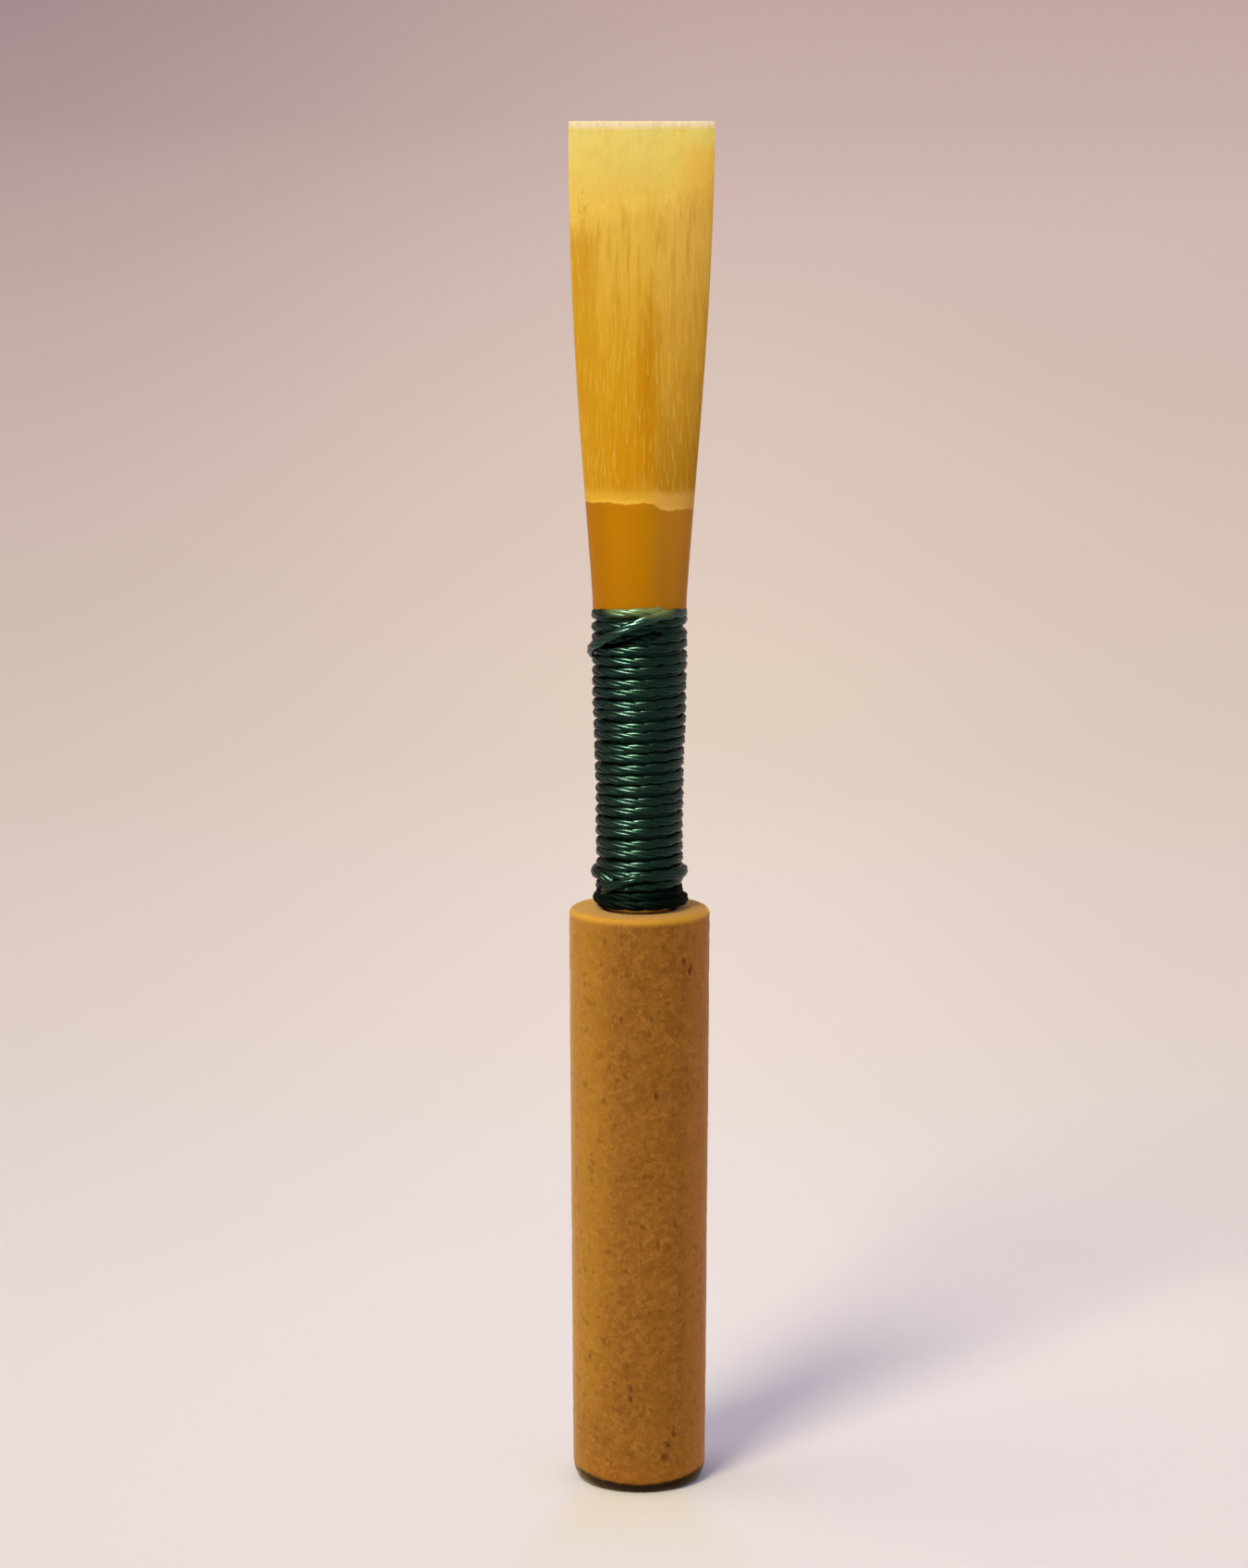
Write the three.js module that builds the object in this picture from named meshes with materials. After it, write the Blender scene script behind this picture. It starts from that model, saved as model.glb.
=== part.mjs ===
// An oboe reed, stood on its cork. Two scraped cane blades are bound with nylon thread onto a thin
// tapered metal staple, and the lower part of the staple is glued into a cork sleeve.
// Millimetres, +Z up along the bore, +X across the blades, origin at the middle of the base.

import * as THREE from 'three';

const { lerp, smoothstep, clamp } = THREE.MathUtils;

// Whole reed
const overallLength = 70;
const fit = 0.03;                   // clearance between pieces that touch
const facets = 40;                  // faces round a tube, an even number

// Metal staple, round at its base and oval at its top
const stapleLength = 46;
const stapleWall = 0.2;
const stapleBaseBore = 4.5;
const stapleTopBoreWidth = 2.7;
const stapleTopBoreDepth = 2;
const stapleOvalLength = 15.5;      // top stretch over which the tube turns oval
const stapleOvalSteps = 7;

// Cork sleeve
const corkLength = 30.2;
const corkTopDiameter = 7.2;
const corkBaseDiameter = 6.85;
const corkTopRound = 0.3;
const corkBaseRoundHeight = 1.1;
const corkBaseRoundDepth = 0.5;
const corkRecessDepth = 0.4;        // countersink round the staple in the cork's top
const corkRecessWidth = 0.55;
const cornerSteps = 3;

// Glue film that holds the cork on the staple
const glueThickness = 0.06;
const glueSetback = 0.5;            // bare length of staple at each end of the cork

// Cane where the thread binds it to the staple
const bareStapleLength = 4.1;       // staple without cane at the lower end of the thread
const tailEdgeThickness = 0.1;
const tailFaceThickness = 0.12;
const tieEdgeThickness = 0.52;
const tieFaceThickness = 0.54;
const tailTaperPower = 1.5;
const tailSteps = 6;

// Cane above the thread
const tieWidth = 4.76;
const tipWidth = 7.3;
const tipOpening = 0.7;             // gap between the two blades at the middle of the tip
const barkThickness = 0.6;          // cane under its bark, just above the thread
const barkStep = 0.09;              // what the first cut of the scrape takes off
const heartThickness = 0.34;
const tipBaseThickness = 0.17;
const tipThickness = 0.1;
const tipLand = 0.3;                // width of the seam where the blades meet, at the tip
const barkLength = 5.1;             // bark left on the cane above the staple
const scrapeEdgeHeight = 0.14;
const scrapePeak = 0.5;             // how far the bark line rises at the middle of the blade
const scrapePeakShare = 0.2;        // half-width of that peak, of the blade's half-width
const scrapeTilt = 0.25;            // how far the bark line drops from the middle to one edge
const thinTipLength = 3.1;          // the thin end of the blade
const tipRampLength = 0.9;          // the slope from the thick blade down to it
const tipTilt = 1.1;                // how far the foot of that end drops from the middle to one edge
const barkSteps = 3;
const heartSteps = 6;
const thinTipSteps = 2;
const tieRoundness = 1;             // section power of a half ellipse
const tipRoundness = 1.6;           // section power of a flat lens
const wedgePower = 1.15;            // how the blades draw together towards the tip

// Nylon thread
const threadLift = 0.2;             // bare staple between the cork and the thread
const threadSetback = 0.35;         // from the top of the thread to the top of the staple
const underlayerThickness = 0.12;   // the first layer, pressed into one sleeve
const strandWidth = 0.25;           // the strand lies flattened
const strandThickness = 0.18;
const strandGap = 0.42;             // bare underlayer between two turns of the outer layer
const tailRampLength = 0.6;         // where the thread climbs from the staple onto the cane
const stepsPerTurn = 24;
const strandSides = 6;
const crossoverStartAngle = -50;    // degrees anticlockwise from the right-hand edge of the blades
const crossoverTurns = 0.42;
const crossoverTopInset = 0.1;      // from the top turn down to the strand that crosses it
const crossoverDrop = 2.7;          // how far that strand comes down on its way round
const hitchTurns = 0.9;
const hitchRise = 0.12;             // how far a hitch climbs over its turn
const upperHitchHeight = 1.62;      // above the bottom of the thread
const lowerHitchHeight = 0.2;
const hitchStartAngle = 110;

// Heights that follow from the sizes above
const threadBottom = corkLength + threadLift;
const threadTop = stapleLength - threadSetback;
const caneBottom = threadBottom + bareStapleLength;
const scrapeHeight = stapleLength + barkLength;
const thinTipHeight = overallLength - thinTipLength;
const freeLength = overallLength - stapleLength;

// Colours
const brass = new THREE.MeshStandardMaterial({ color: 0xc9a04e, roughness: 0.3, metalness: 1 });
const cork = new THREE.MeshStandardMaterial({ color: 0xa36a25, roughness: 0.9, metalness: 0 });
const glue = new THREE.MeshStandardMaterial({ color: 0x8a6a3c, roughness: 0.5, metalness: 0 });
const cane = new THREE.MeshStandardMaterial({ color: 0xd69c2e, roughness: 0.55, metalness: 0 });
const thread = new THREE.MeshStandardMaterial({ color: 0x14402c, roughness: 0.45, metalness: 0 });

// Evenly spaced values from one end to the other, both included
function spaced(from, to, steps) {
  return Array.from({ length: steps + 1 }, (_, i) => lerp(from, to, i / steps));
}

function sumOf(section, by) {
  return { width: section.width + by, depth: section.depth + by };
}

// Half-width and half-depth of the staple's bore at a height
function stapleBore(z) {
  const topMean = Math.sqrt(stapleTopBoreWidth * stapleTopBoreDepth);
  const round = lerp(stapleBaseBore, topMean, z / stapleLength) / 2;
  const oval = smoothstep(z, stapleLength - stapleOvalLength, stapleLength);
  const stretch = lerp(1, Math.sqrt(stapleTopBoreWidth / stapleTopBoreDepth), oval);
  return { width: round * stretch, depth: round / stretch };
}

function stapleOutside(z) {
  return sumOf(stapleBore(z), stapleWall);
}

// Outside of the cane where it lies on the staple, thin at its tail and thick at the tie
function boundCane(z) {
  const share = clamp((z - caneBottom) / (stapleLength - caneBottom), 0, 1) ** tailTaperPower;
  const staple = sumOf(stapleOutside(z), fit);
  return {
    width: staple.width + lerp(tailEdgeThickness, tieEdgeThickness, share),
    depth: staple.depth + lerp(tailFaceThickness, tieFaceThickness, share),
  };
}

// Outside of what the thread is wound on: bare staple below, cane above
function underThread(z) {
  const climb = clamp((z - caneBottom + tailRampLength) / (tailRampLength - fit), 0, 1);
  const staple = stapleOutside(z);
  const bound = boundCane(z);
  return {
    width: lerp(staple.width, bound.width, climb),
    depth: lerp(staple.depth, bound.depth, climb),
  };
}

function underlayerOutside(z) {
  return sumOf(underThread(z), fit + underlayerThickness);
}

// A mesh from a grid of rings of points, each joined to the next. It closes on itself, or is closed
// by a flat face at each end when the outlines of its first and last rings are given.
function meshOf(rings, material, name, endOutlines) {
  const around = rings[0].length;
  const index = [];
  const joins = endOutlines ? rings.length - 1 : rings.length;
  for (let k = 0; k < joins; k++) {
    const low = k * around;
    const high = ((k + 1) % rings.length) * around;
    for (let i = 0; i < around; i++) {
      const next = (i + 1) % around;
      index.push(low + i, low + next, high + next, low + i, high + next, high + i);
    }
  }
  if (endOutlines) {
    const [low, high] = endOutlines.map((outline) => THREE.ShapeUtils.triangulateShape(outline, []));
    const top = (rings.length - 1) * around;
    low.forEach(([a, b, c]) => index.push(c, b, a));
    high.forEach(([a, b, c]) => index.push(top + a, top + b, top + c));
  }
  const geometry = new THREE.BufferGeometry().setFromPoints(rings.flat());
  geometry.setIndex(index);
  geometry.computeVertexNormals();
  const mesh = new THREE.Mesh(geometry, material);
  mesh.name = name;
  return mesh;
}

// An oval loop of points, anticlockwise from above
function ovalLoop(section, z) {
  return spaced(0, 2 * Math.PI, facets).slice(0, facets).map((angle) => (
    new THREE.Vector3(section.width * Math.cos(angle), section.depth * Math.sin(angle), z)
  ));
}

// An open-ended oval tube between an outside and an inside, given as functions of height
function ovalTube(name, material, heights, outside, inside) {
  const up = heights.map((z) => ovalLoop(outside(z), z));
  const down = [...heights].reverse().map((z) => ovalLoop(inside(z), z));
  return meshOf([...up, ...down], material, name);
}

function makeStaple() {
  const ovalStart = stapleLength - stapleOvalLength;
  const heights = [0, ...spaced(ovalStart, stapleLength, stapleOvalSteps)];
  return ovalTube('staple_tube', brass, heights, stapleOutside, stapleBore);
}

// A body of revolution from an outline of radius and height
function turned(name, material, outline) {
  const geometry = new THREE.LatheGeometry(outline, facets);
  geometry.rotateX(Math.PI / 2);
  const mesh = new THREE.Mesh(geometry, material);
  mesh.name = name;
  return mesh;
}

function glueInnerRadius(z) {
  return stapleOutside(z).width + fit;
}

function corkBoreRadius(z) {
  return glueInnerRadius(z) + glueThickness + fit;
}

function makeGlueFilm() {
  const low = glueSetback;
  const high = corkLength - corkRecessDepth - glueSetback;
  return turned('cork_glue_film', glue, [
    new THREE.Vector2(glueInnerRadius(low), low),
    new THREE.Vector2(glueInnerRadius(low) + glueThickness, low),
    new THREE.Vector2(glueInnerRadius(high) + glueThickness, high),
    new THREE.Vector2(glueInnerRadius(high), high),
    new THREE.Vector2(glueInnerRadius(low), low),
  ]);
}

function makeCork() {
  const baseRadius = corkBaseDiameter / 2;
  const topRadius = corkTopDiameter / 2;
  const recessHeight = corkLength - corkRecessDepth;
  const outline = new THREE.Path();
  outline.moveTo(corkBoreRadius(0), 0);
  outline.lineTo(baseRadius - corkBaseRoundDepth, 0);
  outline.absellipse(baseRadius - corkBaseRoundDepth, corkBaseRoundHeight,
    corkBaseRoundDepth, corkBaseRoundHeight, -Math.PI / 2, 0, false);
  outline.lineTo(topRadius, corkLength - corkTopRound);
  outline.absarc(topRadius - corkTopRound, corkLength - corkTopRound, corkTopRound, 0, Math.PI / 2, false);
  outline.lineTo(corkBoreRadius(corkLength) + corkRecessWidth, corkLength);
  outline.lineTo(corkBoreRadius(recessHeight), recessHeight);
  outline.lineTo(corkBoreRadius(0), 0);
  return turned('cork_sleeve', cork, outline.getPoints(cornerSteps));
}

// Share of the way from the top of the staple to the tip
function freeShare(z) {
  return clamp((z - stapleLength) / freeLength, 0, 1);
}

// Inside of the pair of blades: snug on the staple, then an air way that flattens towards the tip
function bladeInside(z) {
  if (z <= stapleLength) return sumOf(stapleOutside(z), fit);
  const t = freeShare(z);
  const tie = sumOf(stapleOutside(stapleLength), fit);
  const land = lerp(tieWidth / 2 - tie.width, tipLand, Math.sin(t * Math.PI / 2));
  return {
    width: freeHalfWidth(t) - land,
    depth: lerp(tipOpening / 2, tie.depth, (1 - t) ** wedgePower),
  };
}

function freeHalfWidth(t) {
  return lerp(tieWidth, tipWidth, Math.sin(t * Math.PI / 2)) / 2;
}

// Outside of the cane above the thread, where it has the given thickness at its middle
function freeCane(thickness) {
  return (z) => ({
    width: freeHalfWidth(freeShare(z)),
    depth: bladeInside(z).depth + thickness,
  });
}

// Rows of a blade from its tail to its tip. Each has a mean height, the outside of the cane there,
// and how much of the bark line's and of the thin tip's slanted shape it follows.
function bladeRows() {
  const bound = spaced(caneBottom, threadTop, tailSteps).map((z) => (
    { z, outside: boundCane, bark: 0, tip: 0 }));
  const bark = spaced(stapleLength, scrapeHeight, barkSteps).map((z, i) => (
    { z, outside: freeCane(barkThickness), bark: i / barkSteps, tip: 0 }));
  const cut = scrapeHeight + scrapeEdgeHeight;
  const heart = spaced(cut, thinTipHeight - tipRampLength, heartSteps).map((z, i) => {
    const share = i / heartSteps;
    const thickness = lerp(barkThickness - barkStep, heartThickness, share);
    return { z, outside: freeCane(thickness), bark: 1 - share, tip: share };
  });
  const thinTip = spaced(thinTipHeight, overallLength, thinTipSteps).map((z, i) => {
    const share = i / thinTipSteps;
    const thickness = lerp(tipBaseThickness, tipThickness, share);
    return { z, outside: freeCane(thickness), bark: 0, tip: 1 - share };
  });
  return [...bound, ...bark, ...heart, ...thinTip];
}

// Height of a point of a row, for its place across the blade from -1 to 1
function rowHeight(row, across, side) {
  const barkLine = scrapePeak * Math.exp(-((across / scrapePeakShare) ** 2)) + scrapeTilt * across * side;
  const tipLine = -tipTilt * across * side;
  return row.z + row.bark * barkLine + row.tip * tipLine;
}

// One blade: an arched strip of cane on the front (side -1) or the back (side 1) of the bore
function makeBlade(name, side) {
  const angles = spaced(0, Math.PI, facets / 2);
  const edge = fit / 2;
  const rings = bladeRows().map((row) => {
    const pointOn = (surface, angle) => {
      const z = rowHeight(row, Math.cos(angle) * side, side);
      const power = lerp(tieRoundness, tipRoundness, freeShare(z));
      const { width, depth } = surface(z);
      const x = width * Math.cos(angle);
      const y = edge + (depth - edge) * Math.sin(angle) ** power;
      return new THREE.Vector3(x * side, y * side, z);
    };
    const outer = angles.map((angle) => pointOn(row.outside, angle));
    const inner = angles.map((angle) => pointOn(bladeInside, angle));
    return [...outer, ...inner.reverse()];
  });
  const outlineOf = (ring) => ring.map((p) => new THREE.Vector2(p.x, p.y));
  return meshOf(rings, cane, name, [outlineOf(rings[0]), outlineOf(rings.at(-1))]);
}

function makeUnderlayer() {
  const heights = [
    threadBottom,
    caneBottom - tailRampLength,
    caneBottom - fit,
    ...spaced(caneBottom, threadTop, tailSteps).slice(1),
  ];
  const inside = (z) => sumOf(underThread(z), fit);
  return ovalTube('thread_underlayer', thread, heights, underlayerOutside, inside);
}

// The middle of a strand that lies on the given number of strands above the underlayer
function strandPoint(angle, z, below) {
  const section = underlayerOutside(z);
  const lift = (below + 1) * fit + (below + 0.5) * strandThickness;
  const reach = 1 / Math.cos(Math.PI / stepsPerTurn);
  return new THREE.Vector3(
    (section.width + lift) * reach * Math.cos(angle),
    (section.depth + lift) * reach * Math.sin(angle),
    z,
  );
}

// A flattened strand swept along a route round the reed, with straight ends
function sweep(name, route) {
  const points = [...route];
  const first = route[0].clone().sub(route[1]).setLength(strandWidth);
  const last = route.at(-1).clone().sub(route.at(-2)).setLength(strandWidth);
  points.unshift(route[0].clone().add(first));
  points.push(route.at(-1).clone().add(last));
  const corner = Math.PI / strandSides;
  const section = spaced(corner, corner + 2 * Math.PI, strandSides).slice(0, strandSides).map((angle) => (
    new THREE.Vector2(
      Math.cos(angle) / Math.cos(corner) * strandThickness / 2,
      Math.sin(angle) * strandWidth / 2,
    )
  ));
  const rings = points.map((point, i) => {
    const before = points[Math.max(i - 1, 0)];
    const after = points[Math.min(i + 1, points.length - 1)];
    const along = after.clone().sub(before).normalize();
    const out = new THREE.Vector3(point.x, point.y, 0).normalize();
    const up = new THREE.Vector3().crossVectors(along, out).normalize();
    const away = new THREE.Vector3().crossVectors(up, along);
    return section.map((offset) => (
      point.clone().addScaledVector(away, offset.x).addScaledVector(up, offset.y)
    ));
  });
  return { rings, mesh: meshOf(rings, thread, name, [section, section]) };
}

// Least distance between corners of a swept strand that are more than half a turn apart
function leastGap(rings) {
  let least = Infinity;
  for (let i = 0; i < rings.length; i++) {
    const end = Math.min(i + 2 * stepsPerTurn, rings.length);
    for (let j = i + Math.ceil(stepsPerTurn / 2); j < end; j++) {
      for (const a of rings[i]) {
        for (const b of rings[j]) {
          least = Math.min(least, a.distanceTo(b));
        }
      }
    }
  }
  return least;
}

// A route that goes round clockwise from above while its height changes from one end to the other
function windingRoute(startAngle, turns, startHeight, endHeight, below) {
  const steps = Math.round(turns * stepsPerTurn);
  return spaced(0, 1, steps).map((share) => (
    strandPoint(startAngle - share * turns * 2 * Math.PI, lerp(startHeight, endHeight, share), below)
  ));
}

// Outer layer of thread, wound down from the top in one unbroken strand
function makeWinding() {
  const pitch = strandWidth + strandGap;
  const top = threadTop - strandWidth / 2;
  const bottom = threadBottom + strandWidth / 2;
  const turns = Math.floor((top - bottom) / pitch);
  const { rings, mesh } = sweep('thread_winding', windingRoute(Math.PI / 2, turns, top, bottom, 0));
  console.log(`thread_winding: ${turns} turns, least gap to itself ${leastGap(rings).toFixed(2)} mm`);
  return mesh;
}

// The strand that comes down slantwise over the top turns, between the two layers
function makeCrossover() {
  const top = threadTop - strandWidth / 2 - crossoverTopInset;
  const start = THREE.MathUtils.degToRad(crossoverStartAngle);
  return sweep('thread_crossover', windingRoute(start, crossoverTurns, top, top - crossoverDrop, 1)).mesh;
}

// A hitch that locks the end of the thread, drawn tight over the outer layer
function makeHitch(name, height) {
  const low = threadBottom + height;
  const start = THREE.MathUtils.degToRad(hitchStartAngle);
  return sweep(name, windingRoute(start, hitchTurns, low + hitchRise, low, 1)).mesh;
}

const reed = new THREE.Group();
reed.add(
  makeStaple(),
  makeGlueFilm(),
  makeCork(),
  makeBlade('cane_blade_front', -1),
  makeBlade('cane_blade_back', 1),
  makeUnderlayer(),
  makeWinding(),
  makeCrossover(),
  makeHitch('thread_hitch_upper', upperHitchHeight),
  makeHitch('thread_hitch_lower', lowerHitchHeight),
);

export default reed;
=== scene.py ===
import math

import bmesh
import bpy
import numpy as np
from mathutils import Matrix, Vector, noise


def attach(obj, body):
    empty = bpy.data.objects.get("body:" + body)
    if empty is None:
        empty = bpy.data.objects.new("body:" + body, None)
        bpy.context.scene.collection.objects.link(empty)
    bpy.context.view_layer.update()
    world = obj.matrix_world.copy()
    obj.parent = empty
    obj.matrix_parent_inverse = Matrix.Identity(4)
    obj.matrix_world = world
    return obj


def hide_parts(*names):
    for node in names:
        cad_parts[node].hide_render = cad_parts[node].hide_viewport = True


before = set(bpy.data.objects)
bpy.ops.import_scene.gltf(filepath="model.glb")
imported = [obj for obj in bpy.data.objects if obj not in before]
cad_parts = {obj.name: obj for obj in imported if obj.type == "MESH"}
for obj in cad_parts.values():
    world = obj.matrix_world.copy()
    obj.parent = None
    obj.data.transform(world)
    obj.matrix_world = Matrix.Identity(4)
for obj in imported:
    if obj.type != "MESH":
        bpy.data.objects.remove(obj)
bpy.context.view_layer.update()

# Sizes in millimetres, the same as in the part's source
OVERALL_LENGTH = 70
CLEARANCE = 0.03
STAPLE_LENGTH = 46
STAPLE_WALL = 0.2
STAPLE_BASE_BORE = 4.5
STAPLE_TOP_BORE = (2.7, 2.0)
STAPLE_OVAL_LENGTH = 15.5
CORK_LENGTH = 30.2
CORK_TOP_RADIUS = 3.6
CORK_BASE_RADIUS = 3.425
CORK_TOP_ROUND = 0.3
CORK_BASE_ROUND = 0.5
CORK_BASE_ROUND_HEIGHT = 1.1
GLUE_THICKNESS = 0.06
CANE_BOTTOM = 34.5
TAIL_THICKNESS = (0.1, 0.12)
TIE_THICKNESS = (0.52, 0.54)
TAIL_TAPER_POWER = 1.5
TAIL_RAMP_LENGTH = 0.6
THREAD_BOTTOM = 30.4
THREAD_TOP = 45.65
TIE_WIDTH = 4.76
TIP_WIDTH = 7.3
TIP_OPENING = 0.7
TIP_LAND = 0.3
BARK_THICKNESS = 0.6
HEART_THICKNESS = 0.34
THIN_TIP_THICKNESS = (0.17, 0.1)
TIP_ROUNDNESS = 1.6
WEDGE_POWER = 1.15
CUT_HEIGHT = 0.14
METRE = 1000

# Sizes that are finer than in the source, or closer to the photograph
BARK_MIDDLE = 50.885
CUT_THICKNESS = 0.5
TIP_FOOT = 66.8
TIP_SLOPE_LENGTH = 1.6
TIP_ROUND_HEIGHT = 0.04
TIP_ROUND_DEPTH = 0.03
TIP_LEAN = 0.1
FLARE_POWER = 1.1
EDGE_GAP = 0.003
EDGE_BEVEL = 0.04


def between(start, end, share):
    return start + (end - start) * share


def eased(value, low, high):
    """0 below low, 1 above high, and a smooth climb from one to the other."""
    share = np.clip((value - low) / (high - low), 0, 1)
    return share * share * (3 - 2 * share)


# How the pieces fit together

def staple_bore(z):
    """Half-width and half-depth of the staple's bore at a height."""
    top_mean = math.sqrt(STAPLE_TOP_BORE[0] * STAPLE_TOP_BORE[1])
    middle = between(STAPLE_BASE_BORE, top_mean, z / STAPLE_LENGTH) / 2
    full = math.sqrt(STAPLE_TOP_BORE[0] / STAPLE_TOP_BORE[1])
    stretch = between(1, full, eased(z, STAPLE_LENGTH - STAPLE_OVAL_LENGTH, STAPLE_LENGTH))
    return middle * stretch, middle / stretch


def staple_outside(z):
    width, depth = staple_bore(z)
    return width + STAPLE_WALL, depth + STAPLE_WALL


def bound_cane(z):
    """Outside of the cane under the thread, thin at its tail and thick at the tie."""
    share = np.clip((z - CANE_BOTTOM) / (STAPLE_LENGTH - CANE_BOTTOM), 0, 1) ** TAIL_TAPER_POWER
    width, depth = staple_outside(z)
    return (width + CLEARANCE + between(TAIL_THICKNESS[0], TIE_THICKNESS[0], share),
            depth + CLEARANCE + between(TAIL_THICKNESS[1], TIE_THICKNESS[1], share))


def under_thread(z):
    """Outside of what the thread is wound on: bare staple below, cane above."""
    climb = np.clip((z - CANE_BOTTOM + TAIL_RAMP_LENGTH) / (TAIL_RAMP_LENGTH - CLEARANCE), 0, 1)
    staple, cane = staple_outside(z), bound_cane(z)
    return between(staple[0], cane[0], climb), between(staple[1], cane[1], climb)


WINDING_HEIGHTS = [30.4, 33.6, 36, 38, 39.4, 41.1, 43, 45.65]
WINDING_HALF_WIDTHS = [2.25, 2.25, 2.265, 2.31, 2.37, 2.42, 2.44, 2.46]


def thread_outside(z):
    """Outside of the finished winding, which the cane's thickness widens towards the top."""
    width = np.interp(z, WINDING_HEIGHTS, WINDING_HALF_WIDTHS)
    below = under_thread(z)
    return width, width - (below[0] - below[1])


def free_share(z):
    """How far up the free part of the blades a height is, from 0 at the staple to 1 at the tip."""
    return np.clip((z - STAPLE_LENGTH) / (OVERALL_LENGTH - STAPLE_LENGTH), 0, 1)


def free_half_width(z):
    return between(TIE_WIDTH, TIP_WIDTH, np.sin(free_share(z) * math.pi / 2) ** FLARE_POWER) / 2


def blade_inside(z):
    """Inside of the pair of blades: snug on the staple, then an air way that flattens to the tip."""
    on_staple = staple_outside(np.minimum(z, STAPLE_LENGTH))
    share = free_share(z)
    tie = [size + CLEARANCE for size in staple_outside(STAPLE_LENGTH)]
    land = between(TIE_WIDTH / 2 - tie[0], TIP_LAND, np.sin(share * math.pi / 2))
    depth = between(TIP_OPENING / 2, tie[1], (1 - share) ** WEDGE_POWER)
    free = z > STAPLE_LENGTH
    return (np.where(free, free_half_width(z) - land, on_staple[0] + CLEARANCE),
            np.where(free, depth, on_staple[1] + CLEARANCE))


def bark_line(across):
    """Height of the edge of the bark, for a place across the blade from -1 to 1."""
    step_height, step_place, step_width = 0.185, 0.34, 0.12
    step = -step_height * np.tanh((across - step_place) / step_width)
    wave = 0.035 * np.sin(9 * across + 0.6) + 0.02 * np.sin(31 * across)
    return BARK_MIDDLE + step + wave


def thin_tip_line(across):
    """Height of the foot of the thin tip, which slants up to the right."""
    return TIP_FOOT + 0.3 * across + 1.0 * across ** 3 + 0.08 * np.sin(13 * across)


# Modelling by hand

def pick(piece, *others):
    """Selects these pieces and nothing else. The first one becomes the active one."""
    bpy.ops.object.select_all(action="DESELECT")
    for each in (piece, *others):
        each.select_set(True)
    bpy.context.view_layer.objects.active = piece


def deselect():
    bpy.ops.object.select_all(action="DESELECT")


def select_points(test):
    """In edit mode, selects the points whose place passes the test, and nothing else."""
    mesh = bpy.context.edit_object.data
    shape = bmesh.from_edit_mesh(mesh)
    shape.select_mode = {"VERT"}
    for point in shape.verts:
        point.select = bool(test(point.co))
    shape.select_flush_mode()
    bmesh.update_edit_mesh(mesh)


def draw_section(name, corners):
    """A flat face in the XZ plane. Its corners are pairs of radius and height, anticlockwise."""
    deselect()
    bpy.ops.mesh.primitive_plane_add(size=2)
    piece = bpy.context.object
    piece.name = name
    piece.data.name = name
    plane_corners = [0, 1, 3, 2]
    for index, (radius, height) in zip(plane_corners, corners):
        piece.data.vertices[index].co = (radius, 0, height)
    bpy.ops.object.mode_set(mode="EDIT")
    return piece


def round_corner(radius, height, by, steps):
    select_points(lambda place: math.hypot(place.x - radius, place.z - height) < 0.01)
    bpy.ops.mesh.bevel(offset=by, offset_type="OFFSET", segments=steps, profile=0.5, affect="VERTICES")


def spin_section(around, long_edges):
    """Divides the section's long edges, then spins its outline round the bore."""
    bpy.ops.mesh.select_all(action="SELECT")
    bpy.ops.mesh.delete(type="ONLY_FACE")
    for is_end, cuts in long_edges:
        select_points(is_end)
        bpy.ops.mesh.subdivide(number_cuts=cuts)
    bpy.ops.mesh.select_all(action="SELECT")
    bpy.ops.mesh.spin(steps=around, angle=2 * math.pi, center=(0, 0, 0), axis=(0, 0, 1))
    bpy.ops.mesh.select_all(action="SELECT")
    bpy.ops.mesh.remove_doubles(threshold=0.004)
    bpy.ops.mesh.normals_make_consistent(inside=False)
    bpy.ops.object.mode_set(mode="OBJECT")


def sweep(name, radius, routes):
    """Round cords that follow the given routes, as one mesh."""
    cords = bpy.data.curves.new(name, "CURVE")
    cords.dimensions = "3D"
    cords.bevel_depth = radius
    cords.bevel_resolution = 2
    cords.use_fill_caps = True
    for points in routes:
        spline = cords.splines.new("POLY")
        spline.points.add(len(points) - 1)
        spline.points.foreach_set("co", np.hstack([points, np.ones((len(points), 1))]).ravel())
    piece = bpy.data.objects.new(name, cords)
    bpy.context.collection.objects.link(piece)
    pick(piece)
    bpy.ops.object.convert(target="MESH")
    return bpy.context.object


def close_ends(piece):
    """Joins the end caps of a swept piece to its sides."""
    bpy.ops.object.mode_set(mode="EDIT")
    bpy.ops.mesh.select_all(action="SELECT")
    bpy.ops.mesh.remove_doubles(threshold=0.0005)
    bpy.ops.object.mode_set(mode="OBJECT")
    return piece


def places(piece):
    """Every point of a piece, as rows of x, y and z."""
    flat = np.empty(len(piece.data.vertices) * 3)
    piece.data.vertices.foreach_get("co", flat)
    return flat.reshape(-1, 3)


def move_to(piece, points):
    piece.data.vertices.foreach_set("co", np.ascontiguousarray(points).ravel())
    piece.data.update()


def note(piece, name, values):
    """Keeps a number for every point of the piece, which its finish can read."""
    layer = piece.data.attributes.get(name) or piece.data.attributes.new(name, "FLOAT", "POINT")
    layer.data.foreach_set("value", np.asarray(values, dtype=np.float32))


def roughen(piece, kind, grain, height, group):
    """Raises and lowers a group of points with a procedural pattern of the given grain."""
    pattern = bpy.data.textures.new(f"{piece.name}_{kind.lower()}_{grain}", kind)
    pattern.noise_scale = grain
    layer = piece.modifiers.new("grain", "DISPLACE")
    layer.texture = pattern
    layer.texture_coords = "LOCAL"
    layer.strength = height
    layer.mid_level = 0.5
    layer.vertex_group = group
    pick(piece)
    bpy.ops.object.modifier_apply(modifier=layer.name)


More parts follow.
